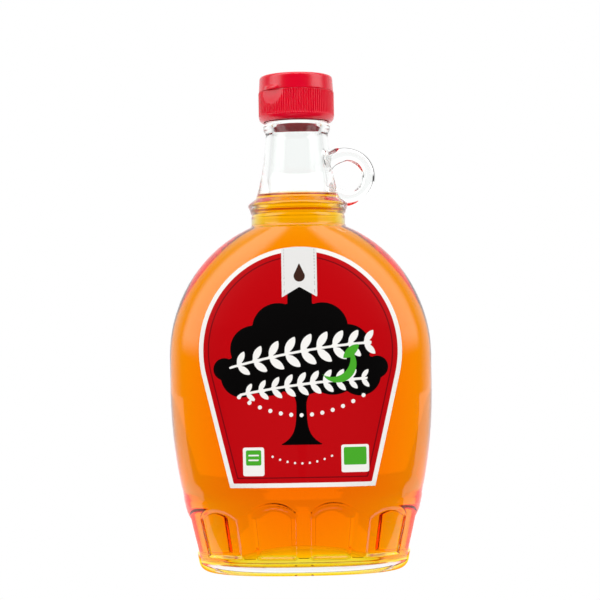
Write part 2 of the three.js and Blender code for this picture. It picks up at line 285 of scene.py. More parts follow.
def outer_path():
    heel = (HEEL_HALF_WIDTH - HEEL_RADIUS_ACROSS, HEEL_RADIUS_UP)
    push_up = arc((0, 0), (BEARING_INNER, PUSH_UP), QUARTER, 0)
    collar = [
        (COLLAR_RADIUS, COLLAR_FOOT),
        (COLLAR_RADIUS, GROOVE_HEIGHT - GROOVE_DEPTH),
        (COLLAR_RADIUS - GROOVE_DEPTH, GROOVE_HEIGHT),
        (COLLAR_RADIUS + GROOVE_DEPTH / 2, GROOVE_HEIGHT + GROOVE_DEPTH),
        (COLLAR_RADIUS + GROOVE_DEPTH, NOSE_HEIGHT - 3 * GROOVE_DEPTH),
        (NOSE_RADIUS, NOSE_HEIGHT),
        (NOSE_RADIUS - GROOVE_DEPTH, NOSE_HEIGHT + 2 * GROOVE_DEPTH),
    ]
    finish = [
        (NECK_TOP[0] + 0.3, BEAD_FOOT - 1.1),
        (BEAD_RADIUS, BEAD_FOOT),
        (BEAD_RADIUS, BEAD_TOP),
        (FINISH_RADIUS, BEAD_TOP + LIP_ROUND),
        (FINISH_RADIUS, LIP_HEIGHT - LIP_ROUND),
        (FINISH_RADIUS - LIP_ROUND, LIP_HEIGHT),
        (0, LIP_HEIGHT),
    ]
    return np.vstack([
        push_up,
        arc(heel, (HEEL_RADIUS_ACROSS, HEEL_RADIUS_UP), -QUARTER, 0),
        [(CREST_HALF_WIDTH, CREST_HEIGHT)],
        side_arc(0),
        dome(0, DOME_END_RADIUS),
        collar,
        bend(NECK_FOOT, NECK_BEND, NECK_TOP),
        finish,
    ])


def inside_path(inset):
    """The room inside the glass from the floor to the collar, drawn smaller by the inset."""
    heel = (INNER_HEEL_ACROSS - inset, INNER_HEEL_TOP - FLOOR_HEIGHT - inset)
    rise = FLOOR_HEIGHT + FLOOR_RISE + inset
    return np.vstack([
        bend((0, rise), (FLOOR_BEND * FLOOR_HALF_WIDTH, rise), (FLOOR_HALF_WIDTH, FLOOR_HEIGHT + inset)),
        arc((FLOOR_HALF_WIDTH, INNER_HEEL_TOP), heel, -QUARTER, 0),
        side_arc(-WALL - inset),
        dome(-WALL - inset, SHOULDER_INNER_RADIUS - inset),
        [(SHOULDER_INNER_RADIUS - inset, COLLAR_FOOT), (COLLAR_INNER_RADIUS - inset, NOSE_HEIGHT)],
    ])


def with_depth(points, inset):
    path = even_path(points)
    return np.column_stack([path, half_depth(path[:, 0], path[:, 1], inset), fullness(path[:, 1])])


def round_rows(rows):
    return np.column_stack([rows, rows[:, 0], np.full(len(rows), ELLIPSE)])


def even_angles(across, deep, count):
    """Angles round an ellipse, from the front towards +X, that step evenly along it, and those steps."""
    fine = np.linspace(0, 2 * math.pi, 40 * count + 1)
    speed = np.hypot(across * np.cos(fine), deep * np.sin(fine))
    along = np.concatenate([[0], np.cumsum((speed[1:] + speed[:-1]) / 2 * np.diff(fine))])
    wanted = along[-1] * np.arange(count) / count
    return np.interp(wanted, along, fine), wanted, along[-1]


# Meshes

def new_object(name, vertices, faces, material):
    mesh = bpy.data.meshes.new(name)
    mesh.from_pydata((np.asarray(vertices) * MM).tolist(), [], faces)
    mesh.update()
    mesh.shade_smooth()
    piece = bpy.data.objects.new(name, mesh)
    bpy.context.scene.collection.objects.link(piece)
    if material:
        mesh.materials.append(material)
    return piece


def ring_faces(first, second, count, closed=True):
    steps = count if closed else count - 1
    faces = []
    for i in range(steps):
        after = (i + 1) % count
        faces.append((first + i, first + after, second + after, second + i))
    return faces


def sheet_faces(rows, columns):
    """Faces of a sheet closed at its edge, from the points of its front and then those of its back."""
    back = rows * columns
    faces = []
    for row in range(rows - 1):
        strip = ring_faces(row * columns, (row + 1) * columns, columns, closed=False)
        faces += strip
        faces += [tuple(back + corner for corner in face[::-1]) for face in strip]
    border = list(range(columns))
    border += [row * columns + columns - 1 for row in range(1, rows)]
    border += [(rows - 1) * columns + i for i in range(columns - 2, -1, -1)]
    border += [row * columns for row in range(rows - 2, 0, -1)]
    for here, following in zip(border, border[1:] + border[:1]):
        faces.append((following, here, back + here, back + following))
    return faces


def capped_grid(name, grid, material):
    """A closed body from rings of points, with its first and last ring drawn together into a pole."""
    rows, columns = grid.shape[:2]
    inner = grid[1:-1].reshape(-1, 3)
    vertices = np.vstack([inner, grid[0, :1], grid[-1, :1]])
    low_pole = len(inner)
    high_pole = low_pole + 1
    last = (rows - 3) * columns
    faces = []
    for row in range(rows - 3):
        faces += ring_faces(row * columns, (row + 1) * columns, columns)
    faces += [(low_pole, (i + 1) % columns, i) for i in range(columns)]
    faces += [(high_pole, last + i, last + (i + 1) % columns) for i in range(columns)]
    return new_object(name, vertices, faces, material)


def oval_grid(rows, angles):
    """Rings of points for rows of half-width, height, half-depth and fullness."""
    width, height, depth, full = (column[:, None] for column in rows.T)
    reach = (np.abs(np.sin(angles)) ** full + np.abs(np.cos(angles)) ** full) ** (-1 / full)
    x = width * reach * np.sin(angles)
    y = -depth * reach * np.cos(angles)
    z = height + 0 * angles
    return np.stack([x, y, z], axis=2)


def combine(target, other, operation):
    tool = target.modifiers.new(operation, "BOOLEAN")
    tool.operation = operation
    tool.solver = "MANIFOLD"
    tool.object = other
    bpy.context.view_layer.update()
    evaluated = target.evaluated_get(bpy.context.evaluated_depsgraph_get())
    made = bpy.data.meshes.new_from_object(evaluated)
    target.modifiers.clear()
    target.data = made
    bpy.data.objects.remove(other)


def smooth_step(value):
    t = np.clip(value, 0, 1)
    return t * t * (3 - 2 * t)


# Flask

def flute_recess(grid, rows, angles, along, total, across):
    """How far each point of the base is set back into a flute."""
    height = grid[:, :, 2]
    share = rows[:, :1] / across
    recess = np.zeros(height.shape)
    middles = [(end * total / 4, END_FLUTE_HALF_WIDTH) for end in (1, 3)]
    for middle in (0, total / 2):
        for step in (-1.5, -0.5, 0.5, 1.5):
            middles.append(((middle + step * FLUTE_PITCH) % total, FLUTE_HALF_WIDTH))
    for middle, half in middles:
        sideways = (along - middle + total / 2) % total - total / 2
        forward = np.cos(np.interp(middle, along, angles)) ** 2
        top = FLUTE_TOP + CREST_LIFT * forward
        u = np.abs(sideways * share)
        radius = (half ** 2 + FLUTE_ARCH_RISE ** 2) / (2 * FLUTE_ARCH_RISE)
        upward = (height - FLUTE_FOOT) / (top - FLUTE_ARCH_RISE - FLUTE_FOOT)
        side = half * (FLUTE_TAPER + (1 - FLUTE_TAPER) * np.clip(upward, 0, 1)) - u
        arch = radius - np.hypot(u, np.maximum(height - top + radius, 0))
        foot = height - FLUTE_FOOT
        inside = np.minimum(np.minimum(side / BEVEL_SIDE, arch / BEVEL_ARCH), foot / BEVEL_FOOT)
        recess = np.maximum(recess, FLUTE_DEPTH * smooth_step(inside))
    return recess


def flask_outer():
    rows = thin_rows(
        soften(with_depth(outer_path(), 0), 0.45), 0.006,
        lambda height: 0.55 if HEEL_RADIUS_UP < height < LAND_TOP + 1 else 2.4,
    )
    taper = (CREST_HALF_WIDTH - HEEL_HALF_WIDTH) / (CREST_HEIGHT - HEEL_RADIUS_UP)
    across = HEEL_HALF_WIDTH + taper * (FLUTE_MIDDLE - HEEL_RADIUS_UP)
    angles, along, total = even_angles(across, across * BASE_DEPTH_SHARE, GLASS_COLUMNS)
    grid = oval_grid(rows, angles)
    grid[:, :, 2] += crest_lift(rows[:, 1:2]) * np.cos(angles) ** 2
    recess = flute_recess(grid, rows, angles, along, total, across)
    outward = np.stack([np.sin(angles) * BASE_DEPTH_SHARE, -np.cos(angles)], axis=1)
    outward /= np.linalg.norm(outward, axis=1)[:, None]
    grid[:, :, :2] -= recess[:, :, None] * outward
    return capped_grid("flask", grid, None)


def ring_handle():
    tube = (RING_OUTER - RING_HOLE) / 2
    turn = np.linspace(0, 2 * math.pi, RING_STEPS, endpoint=False)[:, None]
    round_tube = np.linspace(0, 2 * math.pi, RING_SIDES, endpoint=False)
    from_neck = np.abs(turn - math.pi)
    radius = tube * (1 + RING_FLARE * np.exp(-((from_neck - RING_FLARE_PLACE) / RING_FLARE_SPREAD) ** 2))
    reach = RING_HOLE + tube + radius * np.cos(round_tube)
    x = RING_CENTRE[0] + reach * np.cos(turn)
    z = RING_CENTRE[1] + reach * np.sin(turn)
    y = radius * np.sin(round_tube) * RING_THICKNESS / (2 * tube)
    vertices = np.stack([x, y, z], axis=2).reshape(-1, 3)
    faces = []
    for step in range(RING_STEPS):
        after = (step + 1) % RING_STEPS
        faces += [face[::-1] for face in ring_faces(step * RING_SIDES, after * RING_SIDES, RING_SIDES)]
    return new_object("ring", vertices, faces, None)


def cavity():
    points = np.vstack([
        inside_path(0),
        [(NECK_FOOT_INNER_RADIUS, NECK_FOOT[1]), (NECK_TOP[0] - NECK_WALL, NECK_TOP[1])],
        [(MOUTH_RADIUS, LIP_HEIGHT + 1), (0, LIP_HEIGHT + 1)],
    ])
    rows = thin_rows(soften(with_depth(points, WALL), 1.0), 0.008, lambda height: 3.0)
    angles = even_angles(BODY_HALF_WIDTH, BODY_HALF_DEPTH, CAVITY_COLUMNS)[0]
    return capped_grid("cavity", oval_grid(rows, angles), None)


def touches_syrup(centres):
    """Which faces of the flask are on its inside, below the syrup's surface."""
    x, y, z = np.abs(centres).T
    path = with_depth(outer_path(), 0)
    path = path[path[:, 1] > INNER_HEEL_TOP]
    width, depth, full = (np.interp(z, path[:, 1], path[:, k]) for k in (0, 2, 3))
    inside = (x / (width - WALL / 2)) ** full + (y / (depth - WALL / 2)) ** full < 1
    return inside & (z > FLOOR_HEIGHT - 1) & (z < FILL_HEIGHT)


def make_flask(dry, wet):
    flask = flask_outer()
    combine(flask, ring_handle(), "UNION")
    combine(flask, cavity(), "DIFFERENCE")
    mesh = flask.data
    mesh.shade_smooth()
    mesh.set_sharp_from_angle(angle=math.radians(38))
    mesh.materials.clear()
    mesh.materials.append(dry)
    mesh.materials.append(wet)
    centres = np.empty(len(mesh.polygons) * 3)
    mesh.polygons.foreach_get("center", centres)
    inner = touches_syrup(centres.reshape(-1, 3) / MM)
    mesh.polygons.foreach_set("material_index", inner.astype(np.int32))
    flask.name = "flask_glass"
    return flask


# Syrup

def make_syrup(material):
    narrowing = [COLLAR_INNER_RADIUS, NECK_FOOT_INNER_RADIUS]
    surface_radius = np.interp(FILL_HEIGHT, [NOSE_HEIGHT, NECK_FOOT[1]], narrowing) + SYRUP_OVERLAP
    edge = FILL_HEIGHT + MENISCUS_RISE
    inwards = np.linspace(0, surface_radius, 60)
    meniscus = np.column_stack([
        surface_radius - inwards,
        FILL_HEIGHT + MENISCUS_RISE * np.exp(-(inwards / MENISCUS_REACH) ** 1.4),
    ])
    meniscus[-1, 0] = 0
    points = np.vstack([inside_path(-SYRUP_OVERLAP), [(surface_radius, edge)]])
    wall = soften(with_depth(points, WALL - SYRUP_OVERLAP), 1.0)
    rows = thin_rows(wall, 0.008, lambda height: 3.0)
    top = round_rows(meniscus[1:])
    angles = even_angles(BODY_HALF_WIDTH, BODY_HALF_DEPTH, CAVITY_COLUMNS)[0]
    syrup = capped_grid("syrup_fill", oval_grid(np.vstack([rows, top]), angles), material)
    syrup.data.set_sharp_from_angle(angle=math.radians(50))
    return syrup


# Cap

def wrapped(angles, bearing):
    return (angles - math.radians(bearing) + math.pi) % (2 * math.pi) - math.pi


def make_cap_skirt(material):
    rim = CAP_RADIUS - RIB_DEPTH / 2
    points = np.array([
        (0, CAP_DECK_FOOT),
        (CAP_INNER_RADIUS, CAP_DECK_FOOT),
        (CAP_INNER_RADIUS, CAP_FOOT + CAP_CHAMFER),
        (CAP_INNER_RADIUS + CAP_CHAMFER, CAP_FOOT),
        (CAP_FOOT_RADIUS, CAP_FOOT),
        (rim - 0.1, CAP_FOOT + 1.0),
        (rim, CAP_RIM_TOP - RIB_FADE),
        (CAP_RADIUS, CAP_RIM_TOP),
        (CAP_RADIUS, CAP_SEAM),
        (0, CAP_SEAM),
    ])
    path = soften(even_path(points), 0.2)
    rows = thin_rows(path, 0.01, lambda height: 0.7)
    angles = np.linspace(0, 2 * math.pi, RIB_COUNT * RIB_COLUMNS, endpoint=False)
    grid = oval_grid(round_rows(rows), angles)
    outside = rows[:, 0] > CAP_FOOT_RADIUS
    above_rim = smooth_step((rows[:, 1] - CAP_RIM_TOP) / RIB_FADE)
    below_seam = smooth_step((CAP_SEAM - rows[:, 1]) / RIB_FADE)
    ribbed = above_rim * below_seam * outside
    groove = (0.5 + 0.5 * np.cos(RIB_COUNT * angles)) ** 2
    radius = rows[:, :1] - RIB_DEPTH * ribbed[:, None] * groove
    beside = wrapped(angles, THUMB_BEARING)
    drop = np.clip(rows[:, 1:2] - CAP_SEAM, -SCOOP_RADIUS, 0)
    scoop = CAP_RADIUS - SCOOP_DEPTH + SCOOP_RADIUS - np.sqrt(SCOOP_RADIUS ** 2 - drop ** 2)
    facing = np.where(np.abs(beside) < SCOOP_SPREAD, np.cos(beside), 0.2)
    radius = np.where(outside[:, None], np.minimum(radius, scoop / facing), rows[:, :1])
    ratio = radius / np.maximum(rows[:, :1], 1e-6)
    grid[:, :, :2] *= ratio[:, :, None]
    skirt = capped_grid("cap_skirt", grid, material)
    skirt.data.set_sharp_from_angle(angle=math.radians(45))
    return skirt


def make_cap_lid(material):
    foot = CAP_SEAM + SEAM_GAP
    edge = (LID_TOP_RADIUS - LID_EDGE_ROUND, CAP_TOP - LID_EDGE_ROUND)
    points = np.vstack([
        [(0, foot), (LID_RADIUS, foot)],
        arc(edge, (LID_EDGE_ROUND, LID_EDGE_ROUND), 0, QUARTER, 16),
        [(0, CAP_TOP)],
    ])
    rows = thin_rows(soften(even_path(points), 0.2), 0.005, lambda height: 0.6)
    angles = np.linspace(0, 2 * math.pi, LID_COLUMNS, endpoint=False)
    grid = oval_grid(round_rows(rows), angles)
    beside = wrapped(angles, THUMB_BEARING)
    middle = TAB_REACH - TAB_RADIUS
    inside = np.clip(TAB_RADIUS ** 2 - (middle * np.sin(beside)) ** 2, 0, None)
    tab = np.where(np.abs(beside) < TAB_SPREAD, middle * np.cos(beside) + np.sqrt(inside), 0)
    above = rows[:, 1:2] - foot
    fade = smooth_step((TAB_HEIGHT + 0.5 - above) / TAB_FADE) * (rows[:, :1] > LID_RADIUS - TAB_FADE)
    proud = np.maximum(tab - LID_RADIUS, 0) * fade
    ratio = 1 + proud / np.maximum(rows[:, :1], 1e-6)
    grid[:, :, :2] *= ratio[:, :, None]
    lid = capped_grid("cap_top", grid, material)
    lid.data.set_sharp_from_angle(angle=math.radians(45))
    return lid


def make_hinge(material):
    """The moulded strap that joins skirt and lid at the back."""
    bearing = math.radians(THUMB_BEARING + 180)
    spread = HINGE_WIDTH / 2 / HINGE_OUTER
    angles = np.linspace(-spread, spread, HINGE_COLUMNS)
    levels = np.linspace(HINGE_FOOT, HINGE_TOP, HINGE_ROWS)
    across = np.clip((spread - np.abs(angles)) / (0.12 * spread), 0, 1)
    outward = []
    for height in levels:
        up = min(1, (height - HINGE_FOOT) / HINGE_ROUND_UP, (HINGE_TOP - height) / HINGE_ROUND_UP)
        pinch = HINGE_PINCH * math.exp(-((height - CAP_SEAM - SEAM_GAP / 2) / HINGE_PINCH_REACH) ** 2)
        fall = HINGE_ROUND * (2 - np.sqrt(across) - math.sqrt(max(up, 0)))
        outward.append(HINGE_OUTER - fall - pinch)
    outward = np.array(outward)
    vertices = []
    for radius in (outward, np.full(outward.shape, HINGE_INNER)):
        x = radius * np.sin(angles + bearing)
        y = -radius * np.cos(angles + bearing)
        z = np.repeat(levels[:, None], HINGE_COLUMNS, axis=1)
        vertices.append(np.stack([x, y, z], axis=2).reshape(-1, 3))
    faces = sheet_faces(HINGE_ROWS, HINGE_COLUMNS)
    hinge = new_object("cap_hinge", np.vstack(vertices), faces, material)
    hinge.data.set_sharp_from_angle(angle=math.radians(45))
    return hinge


# Label

def body_point(x, z, path):
    """A point on the front of the flask."""
    level = z.copy()
    for _ in range(8):
        width, depth, full = (np.interp(level, path[:, 1], path[:, k]) for k in (0, 2, 3))
        sideways = np.clip(np.abs(x / width), 0, 1)
        forward = (1 - sideways ** full) ** (1 / full)
        level = z - crest_lift(level) * forward ** 2 / (forward ** 2 + sideways ** 2)
    return np.stack([x, -depth * forward, z], axis=-1)


def label_surface(x, z, path, proud):
    step = 0.05
    here = body_point(x, z, path)
    across = body_point(x + step, z, path) - body_point(x - step, z, path)
    up = body_point(x, z + step, path) - body_point(x, z - step, path)
    out = np.cross(across, up)
    out /= np.linalg.norm(out, axis=-1, keepdims=True)
    return here + proud * out


def label_tangent():
    corner = complex(
        LABEL_FOOT_HALF_WIDTH / LABEL_HALF_WIDTH, (LABEL_FOOT - LABEL_CENTRE) / LABEL_ARCH_RISE
    )
    turn = math.atan2(corner.imag, corner.real) + math.acos(1 / abs(corner))
    return LABEL_HALF_WIDTH * math.cos(turn), LABEL_CENTRE + LABEL_ARCH_RISE * math.sin(turn)


def label_half_width(z):
    side_x, side_z = label_tangent()
    share = (z - LABEL_FOOT) / (side_z - LABEL_FOOT)
    straight = LABEL_FOOT_HALF_WIDTH + (side_x - LABEL_FOOT_HALF_WIDTH) * share
    arch = LABEL_HALF_WIDTH * np.sqrt(np.clip(1 - ((z - LABEL_CENTRE) / LABEL_ARCH_RISE) ** 2, 0, 1))
    return np.where(z < side_z, straight, arch)


def label_edge_distance(x, z):
    """How far inside the label's outline a point is."""
    side_x, side_z = label_tangent()
    run = np.array([side_x - LABEL_FOOT_HALF_WIDTH, side_z - LABEL_FOOT])
    run /= np.linalg.norm(run)
    line = (LABEL_FOOT_HALF_WIDTH - np.abs(x)) * run[1] + (z - LABEL_FOOT) * run[0]
    px, pz = x / LABEL_HALF_WIDTH, (z - LABEL_CENTRE) / LABEL_ARCH_RISE
    reach = np.hypot(px, pz)
    slope = np.hypot(px / LABEL_HALF_WIDTH, pz / LABEL_ARCH_RISE) / np.maximum(reach, 1e-6)
    ellipse = (1 - reach) / np.maximum(slope, 1e-6)
    return np.minimum(np.where(z < side_z, line, ellipse), z - LABEL_FOOT)


def make_label(material):
    path = soften(with_depth(outer_path(), 0), 0.45)
    path = path[(path[:, 1] > LAND_TOP + 0.5) & (path[:, 1] < COLLAR_FOOT - 1)]
    side_z = label_tangent()[1]
    start = math.asin((side_z - LABEL_CENTRE) / LABEL_ARCH_RISE)
    levels = np.concatenate([
        np.linspace(LABEL_FOOT, side_z, LABEL_SIDE_ROWS, endpoint=False),
        LABEL_CENTRE + LABEL_ARCH_RISE * np.sin(np.linspace(start, QUARTER - 0.02, LABEL_ARCH_ROWS)),
    ])
    half = label_half_width(levels)
    x = np.linspace(-1, 1, LABEL_COLUMNS) * half[:, None]
    z = np.repeat(levels[:, None], LABEL_COLUMNS, axis=1)
    front = label_surface(x, z, path, LABEL_PROUD).reshape(-1, 3)
    back = label_surface(x, z, path, -LABEL_SUNK).reshape(-1, 3)
    faces = sheet_faces(len(levels), LABEL_COLUMNS)
    label = new_object("label_sheet", np.vstack([front, back]), faces, material)
    label.data.set_sharp_from_angle(angle=math.radians(45))
    for name, values in label_print(x, z).items():
        layer = label.data.attributes.new(name, "FLOAT", "POINT")
        layer.data.foreach_set("value", np.concatenate([values.reshape(-1), np.full(len(back), UNPRINTED)]))
    return label


# Print on the label: each field is how far inside its shape a point is, in millimetres

STEM_HALF_WIDTH = 0.5
LEAF_TURN = 0.85
LEAF_OUT = 0.55
LEAF_WIDTH = 0.42
CROWN_MIDDLE = (((0, 89), 15), ((0, 105), 8))
CROWN_SIDE = (((13, 85), 11), ((24, 82), 8.5), ((19, 93), 9.5), ((9, 101), 10.5), ((31, 85), 4.5))
TRUNK_FOOT = 54
PENNANT_HALF_WIDTH = 7.2
PENNANT_FOOT = 113.8
PENNANT_NOTCH = 4.2
STITCH_PITCH = 1.3
DROP_HEIGHT = 122.4
DROP_RADIUS = 2.3
DROP_TIP = 127.8
DOT_PITCH = 4.2
SMALL_DOT_PITCH = 3.0
LEFT_PANEL_X = -19.7
RIGHT_PANEL_X = 21.4


def disc(x, z, centre, radius):
    return radius - np.hypot(x - centre[0], z - centre[1])


def leaf(x, z, centre, length, width, turn):
    """A pointed oval, from two crossing circles."""
    c, s = math.cos(turn), math.sin(turn)
    u = (x - centre[0]) * c + (z - centre[1]) * s
    v = -(x - centre[0]) * s + (z - centre[1]) * c
    radius = (length ** 2 + width ** 2) / (4 * width)
    off = radius - width / 2
    return radius - np.hypot(u, np.abs(v) + off)


def panel(x, z, centre, half, corner=0.8):
    across = np.abs(x - centre[0]) - half[0] + corner
    up = np.abs(z - centre[1]) - half[1] + corner
    outside = np.hypot(np.maximum(across, 0), np.maximum(up, 0))
    return corner - outside - np.minimum(np.maximum(across, up), 0)


def union(*fields):
    return np.maximum.reduce(fields)


def tree(x, z):
    """A round-crowned tree, the same on both sides of the label's middle."""
    leaves = [disc(x, z, centre, radius) for centre, radius in CROWN_MIDDLE]
    leaves += [disc(np.abs(x), z, centre, radius) for centre, radius in CROWN_SIDE]
    flare = 2.0 + 7.0 * np.exp(-np.maximum(z - TRUNK_FOOT, 0) / 3.2) + 3.0 * smooth_step((z - 70) / 10)
    trunk = np.minimum(flare - np.abs(x), z - TRUNK_FOOT)
    return union(*leaves, trunk)


def garland(x, z, start, end, sag, pairs, length):
    """A stem with leaves in pairs along it."""
    run = np.array(end) - np.array(start)
    t = np.clip((x - start[0]) / run[0], 0, 1)
    stem_z = start[1] + run[1] * t + sag * 4 * t * (1 - t)
    field = np.minimum(STEM_HALF_WIDTH - np.abs(z - stem_z), run[0] / 2 - np.abs(x - (start[0] + end[0]) / 2))
    for k in range(pairs):
        share = (k + 0.5) / pairs
        at = np.array(start) + run * share + np.array([0, sag * 4 * share * (1 - share)])
        along = math.atan2(run[1] + sag * 4 * (1 - 2 * share), run[0])
        size = length * (0.72 + 0.28 * math.sin(math.pi * share))
        for side in (1, -1):
            turn = along + side * LEAF_TURN
            centre = at + LEAF_OUT * size * np.array([math.cos(turn), math.sin(turn)])
            field = union(field, leaf(x, z, centre, size, size * LEAF_WIDTH, turn))
    return field


def label_print(x, z):
    notch = PENNANT_NOTCH * (1 - np.abs(x) / PENNANT_HALF_WIDTH)
    pennant = np.minimum(PENNANT_HALF_WIDTH - np.abs(x), z - PENNANT_FOOT - notch)
    seam = 0.16 - np.abs(np.abs(x) - PENNANT_HALF_WIDTH + 1.0)
    stitches = np.minimum(seam, 0.42 - np.abs((z % STITCH_PITCH) - STITCH_PITCH / 2))
    drop_tip = np.minimum(DROP_RADIUS * (DROP_TIP - z) / 5.0 - np.abs(x), z - DROP_HEIGHT - 0.5) * 0.9
    drop = union(disc(x, z, (0, DROP_HEIGHT), DROP_RADIUS), drop_tip)
    steps = DOT_PITCH * np.arange(-6, 7)
    dots = union(*[disc(x, z, (step, 66.0 + 0.012 * step ** 2), 0.85) for step in steps])
    sprigs = union(
        garland(x, z, (-29, 85.5), (29, 95), 1.5, 9, 8.0),
        garland(x, z, (-25, 74.5), (27, 80.5), 1.0, 10, 6.0),
        dots,
    )
    steps = SMALL_DOT_PITCH * np.arange(-4, 5)
    small = union(*[disc(x, z, (step, 46.5 + 0.02 * step ** 2), 0.5) for step in steps])
    moon = np.minimum(disc(x, z, (15, 86.5), 7.6), -disc(x, z, (12.8, 88.6), 7.4))
    left = panel(x, z, (LEFT_PANEL_X, 47.4), (4.3, 5.8))
    right = panel(x, z, (RIGHT_PANEL_X, 48.2), (5.6, 5.6))
    left_green = panel(x, z, (LEFT_PANEL_X, 49.0), (3.1, 3.1), 0.5)
    right_green = panel(x, z, (RIGHT_PANEL_X, 49.2), (4.6, 3.6), 0.5)
    stripes = union(*[panel(x, z, (LEFT_PANEL_X, level), (2.2, 0.35), 0.2) for level in (48.0, 50.0)])
    return {
        "edge": label_edge_distance(x, z),
        "pennant": pennant,
        "stitch": np.minimum(stitches, pennant),
        "drop": drop,
        "motif": tree(x, z),
        "white": union(sprigs, small, left, right),
        "green": union(moon, left_green, right_green, leaf(x, z, (20.5, 91.5), 8.5, 3.6, 0.7)),
        "stripe": stripes,
    }


# Materials: inks as on a screen, from 0 to 255

RED_INK = (184, 0, 8)
LINE_INK = (120, 0, 8)
BLACK_INK = (4, 3, 3)
GREEN_INK = (70, 165, 40)
PAPER = (238, 236, 232)
PENNANT_INK = (224, 223, 221)
STITCH_INK = (150, 146, 142)
DROP_INK = (58, 34, 26)
BORDER_WIDTH = 1.8
LINE_START = 3.7
LINE_END = 4.2
CAP_RED = (244, 2, 44)
SYRUP_COLOUR = (0.9965, 0.922, 0.0, 1)
SYRUP_DENSITY = 450.0
GLASS_IOR = 1.52
SYRUP_IOR = 1.47


def material(name):
    made = bpy.data.materials.new(name)
    made.use_nodes = True
    return made, made.node_tree.nodes, made.node_tree.links, made.node_tree.nodes["Principled BSDF"]


def set_inputs(node, **values):
    for name, value in values.items():
        node.inputs[name.replace("_", " ")].default_value = value


def linear(red, green, blue):
    """A colour given as on a screen, as the renderer's linear values."""
    parts = [c / 255 for c in (red, green, blue)]
    return (*[c / 12.92 if c <= 0.04045 else ((c + 0.055) / 1.055) ** 2.4 for c in parts], 1.0)


def add_bump(nodes, links, shader, scale, strength, distance, detail=2.0):
    place = nodes.new("ShaderNodeTexCoord")
    noise = nodes.new("ShaderNodeTexNoise")
    bump = nodes.new("ShaderNodeBump")
    set_inputs(noise, Scale=scale, Detail=detail)
    set_inputs(bump, Strength=strength, Distance=distance)
    links.new(place.outputs["Object"], noise.inputs["Vector"])
    links.new(noise.outputs["Fac"], bump.inputs["Height"])
    links.new(bump.outputs["Normal"], shader.inputs["Normal"])


def glass_material(name, reflection):
    """Clear glass. Where syrup touches it, the glass hardly reflects."""
    made, nodes, links, shader = material(name)
    tint = (reflection, reflection, reflection, 1)
    set_inputs(shader, Base_Color=(0.985, 1.0, 0.992, 1), Roughness=0.0, IOR=GLASS_IOR,
               Transmission_Weight=1.0, Specular_Tint=tint)
    add_bump(nodes, links, shader, 45.0, 0.06, 0.0008, 1.0)
    return made


def syrup_material():
    made, nodes, links, shader = material("amber_syrup")
    set_inputs(shader, Base_Color=(1, 1, 1, 1), Roughness=0.0, IOR=SYRUP_IOR, Transmission_Weight=1.0,
               Specular_Tint=(0, 0, 0, 1))
    absorption = nodes.new("ShaderNodeVolumeAbsorption")
    set_inputs(absorption, Color=SYRUP_COLOUR, Density=SYRUP_DENSITY)
    links.new(absorption.outputs["Volume"], nodes["Material Output"].inputs["Volume"])
    return made


def plastic_material():
    made, nodes, links, shader = material("red_plastic")
    set_inputs(shader, Base_Color=linear(*CAP_RED), Roughness=0.24, IOR=1.49, Specular_IOR_Level=0.8,
               Subsurface_Weight=0.15, Subsurface_Radius=(1.0, 0.1, 0.08), Subsurface_Scale=0.0015)
    add_bump(nodes, links, shader, 900.0, 0.05, 0.0002)
    return made


def label_material():
    made, nodes, links, shader = material("label_paper")
    set_inputs(shader, Roughness=0.42, IOR=1.45, Specular_IOR_Level=0.14)

    def inside(attribute, from_mm, blur=0.12):
        field = nodes.new("ShaderNodeAttribute")
        field.attribute_name = attribute
        ramp = nodes.new("ShaderNodeMapRange")
        set_inputs(ramp, From_Min=from_mm - blur / 2, From_Max=from_mm + blur / 2)
        links.new(field.outputs["Fac"], ramp.inputs["Value"])
        return ramp.outputs["Result"]

    def over(below, colour, mask):
        mix = nodes.new("ShaderNodeMix")
        mix.data_type = "RGBA"
        links.new(mask, mix.inputs["Factor"])
        links.new(below, mix.inputs[6])
        mix.inputs[7].default_value = colour
        return mix.outputs[2]

    layers = (
        ("edge", BORDER_WIDTH, RED_INK),
        ("edge", LINE_START, LINE_INK),
        ("edge", LINE_END, RED_INK),
        ("motif", 0.0, BLACK_INK),
        ("white", 0.0, PAPER),
        ("green", 0.0, GREEN_INK),
        ("stripe", 0.0, PAPER),
        ("pennant", 0.0, PENNANT_INK),
        ("stitch", 0.0, STITCH_INK),
        ("drop", 0.0, DROP_INK),
    )
    base = nodes.new("ShaderNodeRGB")
    base.outputs[0].default_value = linear(*PAPER)
    print_colour = base.outputs[0]
    for attribute, from_mm, ink in layers:
        print_colour = over(print_colour, linear(*ink), inside(attribute, from_mm))
    links.new(print_colour, shader.inputs["Base Color"])
    add_bump(nodes, links, shader, 1400.0, 0.06, 0.0002)
    return made


# Stage

CAMERA_DISTANCE = 660.0
CAMERA_HEIGHT = 103.0
CAMERA_LENS = 93.4
CAMERA_PITCH = 0.87
CAMERA_ROLL = 1.0
FLOOR_WIDTH = 3000.0
FLOOR_FRONT = 28.0
FLOOR_BACK = 4000.0
FLOOR_LIGHT = 1.15

# Amber light that the syrup throws on the floor under the bottle
GLOW_HALF_WIDTH = 58.0
GLOW_HALF_DEPTH = 48.0
GLOW_CENTRE = 22.0
GLOW_LIFT = 0.05
GLOW_COLOUR = (1.0, 0.72, 0.05, 1.0)

# Light of the surroundings: where it starts and ends along its axis, and its strength before and after
BACK_LIGHT = (0.0, 0.75, 0.02, 1.0)
SIDE_LIGHT = (-0.72, -0.52, 0.0, 2.2)
SIDE_LIGHT_BACK = (-0.15, 0.15, 1.0, 0.0)
SIDE_LIGHT_FOOT = (0.04, 0.2, 0.0, 1.0)
TOP_LIGHT = (0.6, 0.85, 0.0, 0.25)
FRONT_LIGHT = (-0.75, -0.2, 0.8, 0.0)

